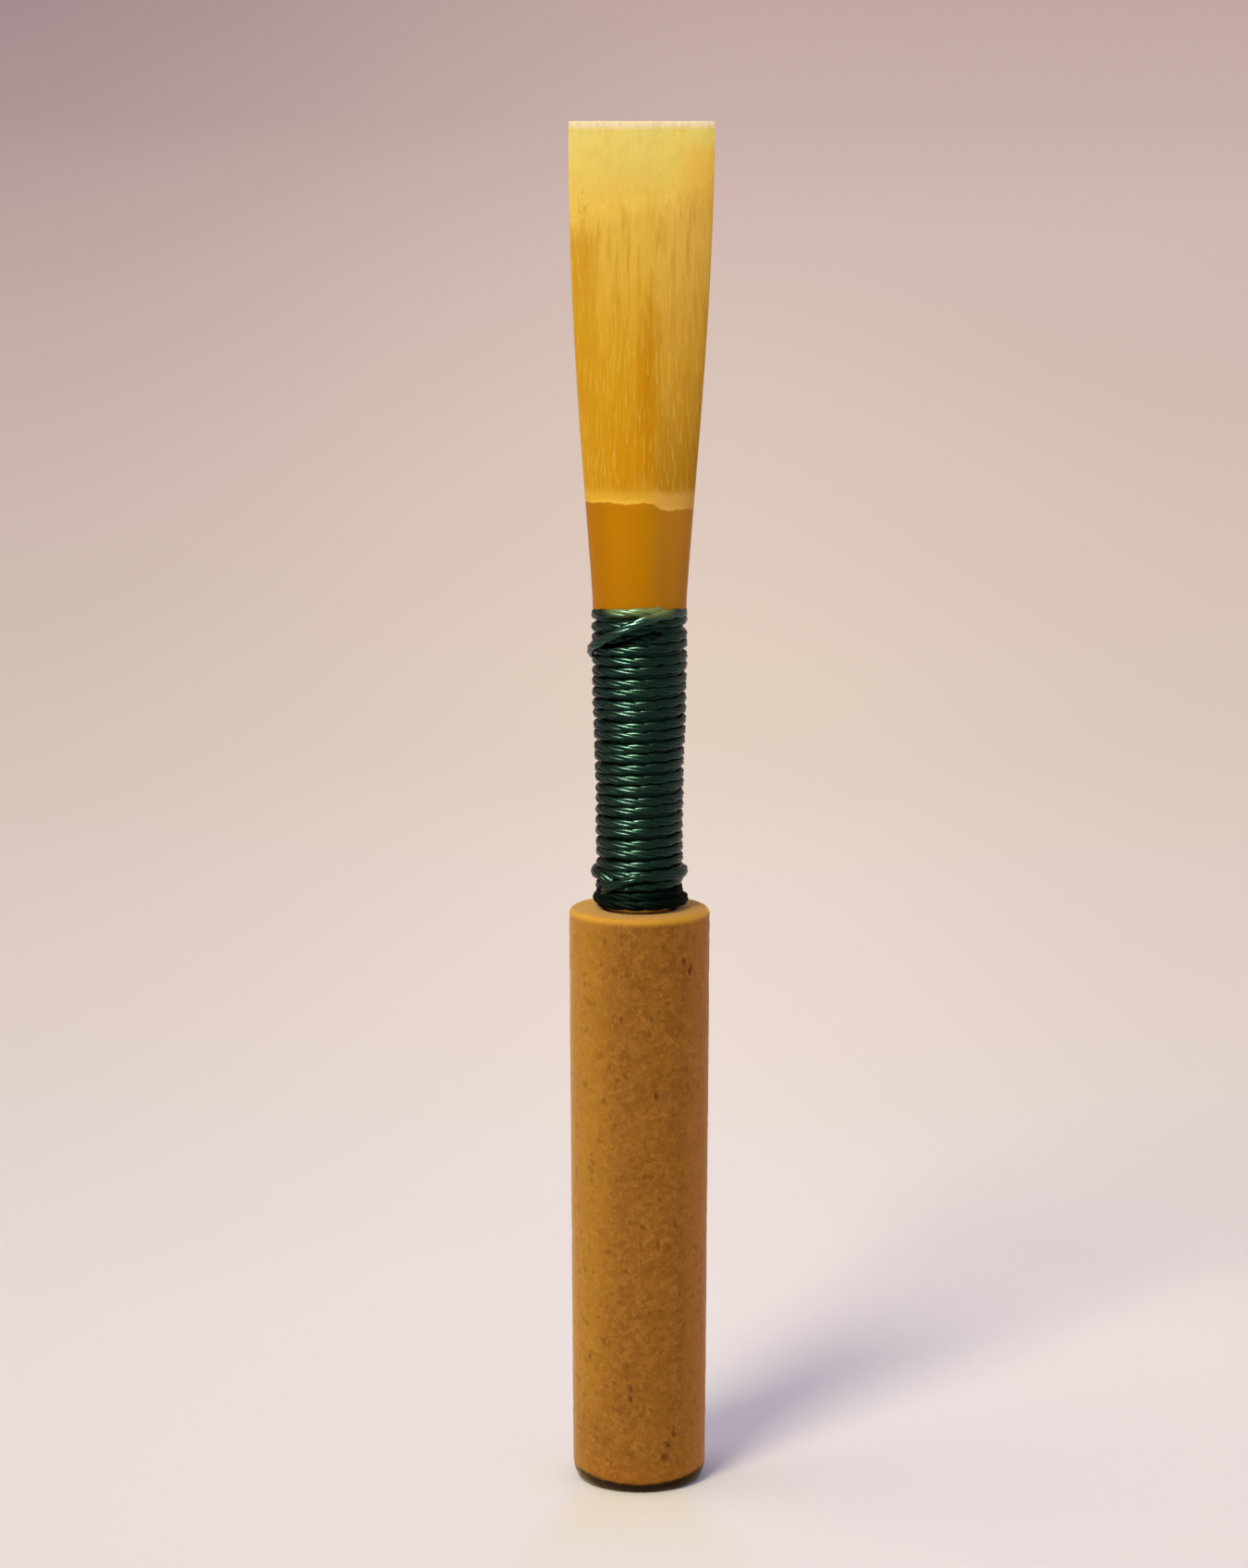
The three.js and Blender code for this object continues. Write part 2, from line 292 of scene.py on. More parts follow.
def to_metres(piece):
    """The pieces are modelled in millimetres. This brings one to the frame's metres."""
    pick(piece)
    bpy.ops.object.shade_smooth()
    bpy.ops.transform.resize(value=(1 / METRE, 1 / METRE, 1 / METRE), center_override=(0, 0, 0))
    bpy.ops.object.transform_apply(location=True, rotation=True, scale=True)


def put_in_place(piece, finish, slot, *nodes):
    to_metres(piece)
    if not piece.data.materials:
        piece.data.materials.append(None)
    piece.data.materials[0] = finish
    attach(piece, "root")
    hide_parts(*nodes)


# The cork

CORK_AROUND = 216
CORK_SIDE_CUTS = 280
CORK_BASE_CUTS = 6
CORK_TOP_CUTS = 10
RANDOM_PITS = 70

# Pits in the cork: degrees to the right of its front, height, half-width, half-height, depth
CORK_PITS = [
    (39.5, 27.9, 0.13, 0.16, 0.1), (46, 27.3, 0.16, 0.14, 0.1), (15, 27.5, 0.12, 0.1, 0.07),
    (20, 27.2, 0.12, 0.12, 0.07), (-10.5, 26.9, 0.11, 0.1, 0.06), (10.5, 25.5, 0.1, 0.12, 0.06),
    (20, 25.5, 0.1, 0.1, 0.06), (10.5, 25, 0.1, 0.1, 0.06), (25, 24.9, 0.1, 0.1, 0.06),
    (-15, 25, 0.1, 0.1, 0.06), (14, 21.1, 0.15, 0.13, 0.1), (-7, 5.7, 0.12, 0.12, 0.07),
    (-7, 5.1, 0.12, 0.12, 0.07), (31.5, 3, 0.16, 0.16, 0.1), (26, 2.5, 0.16, 0.13, 0.1),
    (23, 2, 0.26, 0.2, 0.14),
]


def scattered_pits(count):
    """Small pits over the whole cork, of the same kind as those in its front."""
    chance = np.random.default_rng(41)
    for _ in range(count):
        size = chance.uniform(0.06, 0.12)
        yield (chance.uniform(-180, 180), chance.uniform(0.8, 29.6),
               size * chance.uniform(0.8, 1.3), size * chance.uniform(0.8, 1.3),
               chance.uniform(0.02, 0.06))


def turn_cork():
    """A plain cork sleeve with rounded rims, spun from one section."""
    def bore(z):
        return staple_outside(z)[0] + 2 * CLEARANCE + GLUE_THICKNESS

    cork = draw_section("cork_sleeve_grained", [
        (bore(0), 0), (CORK_BASE_RADIUS, 0),
        (CORK_TOP_RADIUS, CORK_LENGTH), (bore(CORK_LENGTH), CORK_LENGTH)])
    round_corner(CORK_BASE_RADIUS, 0, by=CORK_BASE_ROUND, steps=10)
    select_points(lambda place: place.z < CORK_BASE_ROUND + 0.1)
    lengthen = CORK_BASE_ROUND_HEIGHT / CORK_BASE_ROUND
    bpy.ops.transform.resize(value=(1, 1, lengthen), center_override=(0, 0, 0))
    round_corner(CORK_TOP_RADIUS, CORK_LENGTH, by=CORK_TOP_ROUND, steps=6)
    round_corner(bore(CORK_LENGTH), CORK_LENGTH, by=0.2, steps=3)

    def is_side_end(place):
        low, high = CORK_BASE_ROUND_HEIGHT, CORK_LENGTH - CORK_TOP_ROUND
        return place.x > 3 and min(abs(place.z - low), abs(place.z - high)) < 0.02

    spin_section(CORK_AROUND, [
        (is_side_end, CORK_SIDE_CUTS),
        (lambda place: place.z < 0.01, CORK_BASE_CUTS),
        (lambda place: place.z > CORK_LENGTH - 0.001, CORK_TOP_CUTS),
    ])
    return cork


def pit_cork(cork):
    """Sinks the pits into the cork's side and notes their painted shade, darker the deeper each pit is
    sunk.
    """
    points = places(cork)
    radius = np.hypot(points[:, 0], points[:, 1])
    angle = np.degrees(np.arctan2(points[:, 0], -points[:, 1]))
    dark = np.zeros(len(points))
    sunk = np.zeros(len(points))
    for turn, height, half_width, half_height, depth in [*CORK_PITS, *scattered_pits(RANDOM_PITS)]:
        aside = np.radians((angle - turn + 180) % 360 - 180) * radius / half_width
        along = (points[:, 2] - height) / half_height
        near = np.clip(1 - aside ** 2 - along ** 2, 0, 1) * (radius > 3.1)
        sunk = np.maximum(sunk, depth * near)
        dark = np.maximum(dark, np.clip(near * 1.6, 0, 1) * min(1, depth / 0.07))
    points[:, :2] *= (1 - sunk / radius)[:, None]
    move_to(cork, points)
    note(cork, "pit", dark)


def make_cork():
    """An agglomerate cork sleeve, turned, then grained and pitted outside its bore."""
    cork = turn_cork()
    outer = cork.vertex_groups.new(name="outside")
    points = places(cork)
    radius = np.hypot(points[:, 0], points[:, 1])
    shown = (radius > 2.45) & (points[:, 2] > 0.05)
    outer.add([int(i) for i in np.nonzero(shown)[0]], 1, "REPLACE")
    roughen(cork, "VORONOI", grain=0.3, height=0.03, group="outside")
    roughen(cork, "CLOUDS", grain=0.16, height=0.025, group="outside")
    roughen(cork, "CLOUDS", grain=2.2, height=0.03, group="outside")
    pit_cork(cork)
    return cork


# The staple

STAPLE_AROUND = 96
STAPLE_SIDE_CUTS = 46
STAPLE_RIM_ROUND = 0.05
SEAM_DEPTH = 0.05
SEAM_HALF_ANGLE = 0.03


def make_staple():
    """A drawn brass tube, round at its base and squeezed to an oval at its top."""
    low, high = staple_bore(0)[0], staple_bore(STAPLE_LENGTH)[0]
    corners = [(low, 0), (low + STAPLE_WALL, 0),
               (high + STAPLE_WALL, STAPLE_LENGTH), (high, STAPLE_LENGTH)]
    staple = draw_section("staple_drawn", corners)
    for radius, height in corners:
        round_corner(radius, height, by=STAPLE_RIM_ROUND, steps=3)

    def is_side_end(place, side):
        middle = between(low, high, place.z / STAPLE_LENGTH) + STAPLE_WALL / 2
        return 0.04 < place.z < STAPLE_LENGTH - 0.04 and (place.x - middle) * side > 0

    spin_section(STAPLE_AROUND, [
        (lambda place: is_side_end(place, 1), STAPLE_SIDE_CUTS),
        (lambda place: is_side_end(place, -1), STAPLE_SIDE_CUTS),
    ])
    points = places(staple)
    radius = np.hypot(points[:, 0], points[:, 1])
    bore = staple_bore(points[:, 2])
    wall = radius - between(low, high, points[:, 2] / STAPLE_LENGTH)
    direction = points[:, :2] / radius[:, None]
    seam = SEAM_DEPTH * np.exp(-(direction[:, 0] / SEAM_HALF_ANGLE) ** 2)
    seam = seam * (direction[:, 1] > 0) * (wall < STAPLE_WALL / 2) * eased(points[:, 2], 0.1, 0.6)
    points[:, 0] = direction[:, 0] * (bore[0] + wall)
    points[:, 1] = direction[:, 1] * (bore[1] + wall - seam)
    move_to(staple, points)
    note(staple, "seam", seam / SEAM_DEPTH)
    return staple


# The cane blades

BLADE_COLUMNS = 100
TAIL_ROWS = 16
BARK_ROWS = 32
HEART_ROWS = 112
TIP_SLOPE_ROWS = 13
THIN_TIP_ROWS = 26


def blade_rows():
    """Rows from tail to tip: height, thickness, and how far each follows the two slanted lines."""
    rows = [(z, 0, 0, 0) for z in np.linspace(CANE_BOTTOM, THREAD_TOP - 0.3, TAIL_ROWS)]
    for above_thread in (-0.2, -0.1, 0, 0.15):
        rows.append((THREAD_TOP + above_thread, BARK_THICKNESS, 0, 0))
    bark_heights = np.linspace(STAPLE_LENGTH, BARK_MIDDLE, BARK_ROWS)
    for z, share in zip(bark_heights, np.linspace(0, 1, BARK_ROWS)):
        rows.append((z, BARK_THICKNESS, share, 0))
    cut_top = BARK_MIDDLE + CUT_HEIGHT
    slope_bottom = TIP_FOOT - TIP_SLOPE_LENGTH
    rows.append((BARK_MIDDLE + 0.06, between(BARK_THICKNESS, CUT_THICKNESS, 0.45), 1, 0))
    rows.append((cut_top, CUT_THICKNESS, 1, 0))
    for share in np.linspace(0, 1, HEART_ROWS)[1:]:
        thickness = between(CUT_THICKNESS, HEART_THICKNESS, share)
        rows.append((between(cut_top, slope_bottom, share), thickness, 1 - share, share))
    for share in np.linspace(0, 1, TIP_SLOPE_ROWS)[1:]:
        thickness = between(HEART_THICKNESS, THIN_TIP_THICKNESS[0], eased(share, 0, 1))
        rows.append((between(slope_bottom, TIP_FOOT, share), thickness, 0, 1))
    for share in np.linspace(0, 1, THIN_TIP_ROWS)[1:]:
        height = between(TIP_FOOT, OVERALL_LENGTH - TIP_ROUND_HEIGHT, share)
        rows.append((height, between(*THIN_TIP_THICKNESS, share), 0, 1 - share))
    rows.append((OVERALL_LENGTH, THIN_TIP_THICKNESS[1] - TIP_ROUND_DEPTH, 0, 0))
    return rows


def scrape_relief(x, z, above_bark, above_heart):
    """What the knife and the grain leave on the scraped cane, in millimetres."""
    streaks = np.array([
        noise.noise(Vector((a * 5.5, 3.1, b * 0.28))) + 0.6 * noise.noise(Vector((a * 13, 7.7, b * 0.7)))
        for a, b in zip(x.ravel(), z.ravel())]).reshape(x.shape)
    heart = eased(above_bark, 0.1, 1.2) * (1 - eased(above_heart, -0.9, 0.1))
    spine = np.exp(-((x - 0.2) / 0.22) ** 2) * eased(above_bark, 0.4, 2) * (1 - eased(z, 58, 63))
    facet = 0.012 * np.sin(x * 3.3 + z * 0.12) * heart
    return streaks * (0.004 + 0.011 * heart) + 0.03 * spine + facet


def blade_sheet(name, outside):
    """A flat grid the size of a blade, arched into its outside or its inside."""
    rows = blade_rows()
    deselect()
    bpy.ops.mesh.primitive_grid_add(x_subdivisions=BLADE_COLUMNS, y_subdivisions=len(rows) - 1, size=2)
    sheet = bpy.context.object
    sheet.name = name
    flat = places(sheet)
    column = np.rint((flat[:, 0] + 1) / 2 * BLADE_COLUMNS)
    row = np.rint((flat[:, 1] + 1) / 2 * (len(rows) - 1)).astype(int)
    height, thickness, bark_share, tip_share = np.array(rows)[row].T
    angle = math.pi * (1 - column / BLADE_COLUMNS)
    across = np.cos(angle)
    z = (height + bark_share * (bark_line(across) - BARK_MIDDLE)
         + tip_share * (thin_tip_line(across) - TIP_FOOT))
    above_bark = z - bark_line(across)
    above_heart = z - thin_tip_line(across)
    width, depth = blade_inside(z)
    edge = EDGE_GAP
    if outside:
        cane = bound_cane(z)
        released = eased(z, THREAD_TOP - 0.3, THREAD_TOP)
        width = between(cane[0], free_half_width(z), released)
        depth = between(cane[1], depth + thickness, released)
        scraped = (z >= STAPLE_LENGTH) & (z < OVERALL_LENGTH - TIP_ROUND_HEIGHT / 2)
        relief = scrape_relief(width * across, z, above_bark, above_heart)
        depth = depth + relief * eased(1 - abs(across), 0.0, 0.12) * scraped
        edge = EDGE_GAP + EDGE_BEVEL * eased(z, THREAD_TOP, THREAD_TOP + 1.5)
    arch = np.sin(angle) ** between(1, TIP_ROUNDNESS, free_share(z))
    move_to(sheet, np.stack([width * across, -(edge + (depth - edge) * arch), z], axis=1))
    note(sheet, "above_bark", above_bark)
    note(sheet, "above_heart", above_heart)
    note(sheet, "across", across)
    note(sheet, "outside", np.full(len(z), 1.0 if outside else 0.0))
    return sheet


def make_front_blade():
    """The outside and the inside of the cane are two arched sheets, joined at their edges."""
    inner = blade_sheet("cane_blade_inside", False)
    blade = blade_sheet("cane_blade_front_scraped", True)
    pick(blade, inner)
    bpy.ops.object.join()
    bpy.ops.object.mode_set(mode="EDIT")
    bpy.ops.mesh.select_all(action="DESELECT")
    bpy.ops.mesh.select_mode(type="EDGE")
    bpy.ops.mesh.select_non_manifold(extend=False, use_wire=False, use_boundary=True,
                                     use_multi_face=False, use_non_contiguous=False, use_verts=False)
    bpy.ops.mesh.bridge_edge_loops()
    bpy.ops.mesh.select_all(action="SELECT")
    bpy.ops.mesh.normals_make_consistent(inside=False)
    bpy.ops.object.mode_set(mode="OBJECT")
    return blade


def make_back_blade(front):
    """The other half of the folded cane: the same blade, turned to the back."""
    pick(front)
    bpy.ops.object.duplicate(linked=False)
    back = bpy.context.object
    back.name = "cane_blade_back_scraped"
    bpy.ops.transform.rotate(value=math.pi, orient_axis="Z", center_override=(0, 0, 0))
    bpy.ops.object.transform_apply(location=True, rotation=True, scale=True)
    return back


def lean(blade):
    """Leans a blade a little to the right, more and more towards its tip."""
    points = places(blade)
    points[:, 0] += TIP_LEAN * free_share(points[:, 2]) ** 2
    move_to(blade, points)


# The thread

STRAND_HALF_HEIGHT = 0.272
STRAND_HALF_THICKNESS = 0.2
PLY_RADIUS = 0.165
PLY_STEP = 0.14
TWIST_LENGTH = 3.2
FIRST_LAYER_PITCH = 0.55
FIRST_LAYER_RADIUS = 0.1
FIRST_LAYER_FLATNESS = 3.0
OUTER_LAYER_PITCH = 0.548

# The lowest turns get near-black, matt painted shade up to this height
PAINTED_SHADE_BELOW = 31.45

# A gap beneath the crossover, sunk and darkened with painted shade, slants up and widens to the right
GAP_HEIGHT = 44.245
GAP_SLOPE = 0.257
GAP_ENDS = (-1.75, 1.3)
GAP_HALF_HEIGHTS = (0.1, 0.26)
GAP_TAPER = 0.4
GAP_SINKING = 0.98


def lay_strand(name, angles, heights, outward):
    """A three-ply twisted strand along a route round the reed.

    Angles are in degrees clockwise from the right-hand edge. outward is how far the strand's
    outside stands out from the finished winding.
    """
    angles, heights, outward = (np.asarray(v, dtype=float) for v in (angles, heights, outward))
    width, depth = thread_outside(heights)
    turn = -np.radians(angles)
    middle = outward - STRAND_HALF_THICKNESS
    route = np.stack([(width + middle) * np.cos(turn), (depth + middle) * np.sin(turn), heights], axis=1)
    length = np.concatenate([[0], np.cumsum(np.linalg.norm(np.diff(route, axis=0), axis=1))])
    steps = np.arange(0, length[-1], PLY_STEP)
    route = np.stack([np.interp(steps, length, route[:, i]) for i in range(3)], axis=1)
    out = route * (1, 1, 0)
    out /= np.linalg.norm(out, axis=1)[:, None]
    plies = []
    for ply in range(3):
        phase = 2 * math.pi * (steps / TWIST_LENGTH + ply / 3)
        aside = (STRAND_HALF_HEIGHT - PLY_RADIUS) * np.sin(phase)
        raised = (STRAND_HALF_THICKNESS - PLY_RADIUS) * np.cos(phase)
        plies.append(route + out * raised[:, None] + np.array([0, 0, 1]) * aside[:, None])
    return close_ends(sweep(name, PLY_RADIUS, plies))


def open_gap(layer, matt):
    """Cuts the gap's edges across the turns, sinks what is between them and gives it the near-black, matt
    finish of painted shade.
    """
    widening = (GAP_HALF_HEIGHTS[1] - GAP_HALF_HEIGHTS[0]) / (GAP_ENDS[1] - GAP_ENDS[0])

    def above_gap(place):
        return place.z - GAP_SLOPE * place.x - GAP_HEIGHT

    def half_height(place):
        return GAP_HALF_HEIGHTS[0] + widening * (place.x - GAP_ENDS[0])

    def is_front(place):
        return place.y < -0.5

    bpy.ops.object.mode_set(mode="EDIT")
    for side in (-1, 1):
        slope = GAP_SLOPE + side * widening
        edge = GAP_HEIGHT + side * (GAP_HALF_HEIGHTS[0] - widening * GAP_ENDS[0])
        select_points(lambda place: (is_front(place) and abs(place.x) < 2
                                     and abs(above_gap(place)) < 0.8))
        bpy.ops.mesh.bisect(plane_co=(0, 0, edge), plane_no=(-slope, 0, 1))
    for inset in (0, 0.25):
        left = GAP_ENDS[0] + inset
        right = GAP_ENDS[1] - inset
        select_points(lambda place: (is_front(place) and left < place.x < right
                                     and abs(above_gap(place)) < half_height(place) - 0.001))
        bpy.ops.transform.resize(value=(GAP_SINKING, GAP_SINKING, 1), center_override=(0, 0, 0))
    bpy.ops.object.mode_set(mode="OBJECT")
    # The faces in the gap take the near-black finish: painted shade.
    layer.data.materials.append(None)
    layer.data.materials.append(matt)
    for face in layer.data.polygons:
        from_end = min(face.center.x - GAP_ENDS[0], GAP_ENDS[1] - face.center.x)
        reach = half_height(face.center) * min(from_end / GAP_TAPER, 1)
        if is_front(face.center) and abs(above_gap(face.center)) < reach:
            face.material_index = 1


def wind_first_layer(matt):
    """The first layer, wound up the staple and the cane in flattened close turns."""
    top, bottom = THREAD_TOP - 0.3, THREAD_BOTTOM + 0.3
    turns = (top - bottom) / FIRST_LAYER_PITCH + 1
    share = np.linspace(0, 1, round(turns * 36))
    heights = bottom + np.maximum(share * turns - 1, 0) * FIRST_LAYER_PITCH
    width, depth = under_thread(heights)
    turn = -2 * math.pi * turns * share
    route = np.stack([(width + FIRST_LAYER_RADIUS) * np.cos(turn),
                      (depth + FIRST_LAYER_RADIUS) * np.sin(turn),
                      heights / FIRST_LAYER_FLATNESS], axis=1)
    layer = sweep("thread_first_layer", FIRST_LAYER_RADIUS, [route])
    bpy.ops.transform.resize(value=(1, 1, FIRST_LAYER_FLATNESS), center_override=(0, 0, 0))
    bpy.ops.object.transform_apply(location=True, rotation=True, scale=True)
    close_ends(layer)
    open_gap(layer, matt)
    return layer


def wind_outer_layer(matt):
    """The outer layer, wound down from the tie to the cork in close turns."""
    top, bottom = THREAD_TOP - 0.27, THREAD_BOTTOM + 0.27
    turns = (top - bottom) / OUTER_LAYER_PITCH + 0.9
    share = np.linspace(0, 1, round(turns * 60))
    uneven = 0.035 * np.sin(share * turns * 2.9) + 0.02 * np.sin(share * turns * 9.1)
    angles = 44 + 360 * turns * share
    raised_front = 0.13 * (1 + np.sin(np.radians(angles))) * (1 - eased(share * turns, 0.8, 2))
    heights = np.maximum(top - share * turns * OUTER_LAYER_PITCH, bottom) + raised_front
    heights = heights + uneven * eased(share, 0, 0.03) * (1 - eased(share, 0.97, 1))
    around = (angles + 90) % 360 - 90
    gap = GAP_HEIGHT + GAP_SLOPE * thread_outside(heights)[0] * np.cos(np.radians(around))
    dipped = 0.09 * np.exp(-((heights - gap) / 0.2) ** 2)
    dipped = dipped * eased(around, 54, 66) * (1 - eased(around, 130, 145))
    tucked = 0.3 * (1 - eased(angles, 44, 74)) + 0.3 * eased(angles, angles[-1] - 40, angles[-1])
    outward = 0.012 * np.sin(share * turns * 5.3) - dipped - tucked
    layer = lay_strand("thread_outer_layer", angles, heights, outward)
    open_gap(layer, matt)
    # The lowest turns take the painted shade finish.
    for face in layer.data.polygons:
        if face.center.z < PAINTED_SHADE_BELOW:
            face.material_index = 1
    return layer


def lay_crossover():
    """The strand that comes in at the right and runs down to the left over the top turns."""
    angles = np.linspace(-105, 208, 240)
    heights = np.interp(angles, [-105, -60, -20, 36, 60, 85, 99, 140, 180, 208],
                        [45.15, 45.3, 45.37, 45.46, 45.47, 45.22, 44.95, 44.05, 43.45, 43.0])
    proud = np.interp(angles, [-105, -75, -40, 36, 52, 72, 95, 140, 165, 190, 208],
                      [-0.3, -0.1, -0.03, 0.0, 0.1, 0.28, 0.38, 0.36, 0.26, 0.23, -0.1])
    return lay_strand("thread_crossover_strand", angles, heights, proud)


def lay_upper_hitch():
    """The upper hitch, whose end comes down over it at the left of the front."""
    share = np.linspace(0, 1, 320)
    heights = np.interp(share, [0, 0.06, 0.85, 1], [31.75, 32.08, 32.14, 31.15])
    proud = np.interp(share, [0, 0.05, 0.8, 0.86, 0.93, 1], [0.02, 0.24, 0.25, 0.33, 0.2, 0.0])
    return lay_strand("thread_hitch_upper_strand", 128 + 385 * share, heights, proud)


def lay_lower_hitch():
    """The last turn, drawn tight where the thread meets the cork."""
    share = np.linspace(0, 1, 260)
    heights = np.interp(share, [0, 0.06, 0.9, 1], [31.0, 30.7, 30.66, 30.66])
    proud = np.interp(share, [0, 0.08, 0.55, 0.8, 0.95, 1], [0.0, 0.15, 0.27, 0.15, 0.12, 0.02])
    return lay_strand("thread_hitch_lower_strand", 150 + 380 * share, heights, proud)


# Finishes

def colour(red, green, blue):
    """A colour given from 0 to 255 as it shows on a screen, in the form that shaders take."""
    parts = [part / 255 for part in (red, green, blue)]
    return (*[part / 12.92 if part <= 0.04045 else ((part + 0.055) / 1.055) ** 2.4 for part in parts], 1)


class Value:
    """One output of a shader node. The usual signs of arithmetic on it add Math nodes."""

    def __init__(self, work, socket):
        self.work = work
        self.socket = socket

    def math(self, operation, first, second=None):
        return self.work.node("ShaderNodeMath", {"operation": operation}, [first, second])

    def __add__(self, other):
        return self.math("ADD", self, other)

    def __radd__(self, other):
        return self.math("ADD", other, self)

    def __sub__(self, other):
        return self.math("SUBTRACT", self, other)

    def __rsub__(self, other):
        return self.math("SUBTRACT", other, self)

    def __mul__(self, other):
        return self.math("MULTIPLY", self, other)

    def __rmul__(self, other):
        return self.math("MULTIPLY", other, self)

    def __truediv__(self, other):
        return self.math("DIVIDE", self, other)

    def __rtruediv__(self, other):
        return self.math("DIVIDE", other, self)

    def __pow__(self, other):
        return self.math("POWER", self, other)

    def __rpow__(self, other):
        return self.math("POWER", other, self)

    def __abs__(self):
        return self.math("ABSOLUTE", self)

    def most(self, other):
        return self.math("MAXIMUM", self, other)


class Work:
    """The nodes of one material, or of the room's light."""

    def __init__(self, tree):
        self.tree = tree
        tree.nodes.clear()

    def node(self, kind, settings=None, inputs=None, output=0):
        """Adds a node: first its settings, then the values or links of its sockets."""
        node = self.tree.nodes.new(kind)
        for name, value in (settings or {}).items():
            if name == "stops":
                ramp = node.color_ramp
                while len(ramp.elements) < len(value):
                    ramp.elements.new(0.5)
                for element, (position, shade) in zip(ramp.elements, value):
                    element.position = position
                    element.color = shade
            else:
                setattr(node, name, value)
        pairs = inputs.items() if isinstance(inputs, dict) else enumerate(inputs or [])
        for name, value in pairs:
            if isinstance(value, Value):
                self.tree.links.new(value.socket, node.inputs[name])
            elif value is not None:
                node.inputs[name].default_value = value
        return Value(self, node.outputs[output]) if node.outputs else node

    def parts(self, vector):
        """The three parts of a vector or a colour."""
        node = self.tree.nodes.new("ShaderNodeSeparateXYZ")
        self.tree.links.new(vector.socket, node.inputs[0])
        return [Value(self, socket) for socket in node.outputs]

    def place(self):
        """The point's place on the piece in millimetres."""
        here = self.node("ShaderNodeTexCoord", output="Object")
        return self.node("ShaderNodeVectorMath", {"operation": "SCALE"}, {"Vector": here, "Scale": METRE})

    def noted(self, name):
        """A number that note() kept for the piece's points."""
        return self.node("ShaderNodeAttribute", {"attribute_name": name}, output="Fac")

    def stretched(self, vector, x, y, z):
        return self.node("ShaderNodeVectorMath", {"operation": "MULTIPLY"}, [vector, (x, y, z)])

    def grain(self, vector, scale, detail=3, rough=0.55):
        return self.node("ShaderNodeTexNoise", {"noise_dimensions": "3D"},
                         {"Vector": vector, "Scale": scale, "Detail": detail, "Roughness": rough})

    def wandering(self, vector, scale, reach):
        """The same places, each led astray by a little noise, which makes a pattern's edges uneven."""
        astray = self.node("ShaderNodeTexNoise", {"noise_dimensions": "3D"},
                           {"Vector": vector, "Scale": scale, "Detail": 2.0}, "Color")
        aside = self.node("ShaderNodeVectorMath", {"operation": "SUBTRACT"}, [astray, (0.5, 0.5, 0.5)])
        aside = self.node("ShaderNodeVectorMath", {"operation": "SCALE"}, {"Vector": aside, "Scale": reach})
        return self.node("ShaderNodeVectorMath", {"operation": "ADD"}, [vector, aside])

    def cells(self, vector, scale, feature="F1", output="Distance"):
        return self.node("ShaderNodeTexVoronoi", {"feature": feature},
                         {"Vector": vector, "Scale": scale}, output)

    def climb(self, value, low, high, start=0.0, end=1.0):
        """A smooth climb from start to end while the value goes from low to high."""
        return self.node("ShaderNodeMapRange", {"interpolation_type": "SMOOTHSTEP"},
                         {"Value": value, "From Min": low, "From Max": high,
                          "To Min": start, "To Max": end})

    def ramp(self, value, stops):
        return self.node("ShaderNodeValToRGB", {"stops": stops}, [value], "Color")

    def mix(self, share, first, second, blend="MIX"):
        return self.node("ShaderNodeMix", {"data_type": "RGBA", "blend_type": blend},
                         {0: share, 6: first, 7: second}, 2)

    def bump(self, height, depth, strength=1.0):
        """Relief from a pattern, its depth in millimetres."""
        return self.node("ShaderNodeBump", None,
                         {"Strength": strength, "Distance": depth / METRE, "Height": height})

    def shade(self, **sockets):
        """The surface shader, with its sockets given by name."""
        named = {name.replace("_", " "): value for name, value in sockets.items()}
        return self.node("ShaderNodeBsdfPrincipled", None, named)


def start_finish(name, shown):
    material = bpy.data.materials.new(name)
    material.use_nodes = True
    material.diffuse_color = shown
    return material, Work(material.node_tree)


def end_finish(work, shader):
    work.node("ShaderNodeOutputMaterial", None, {"Surface": shader})


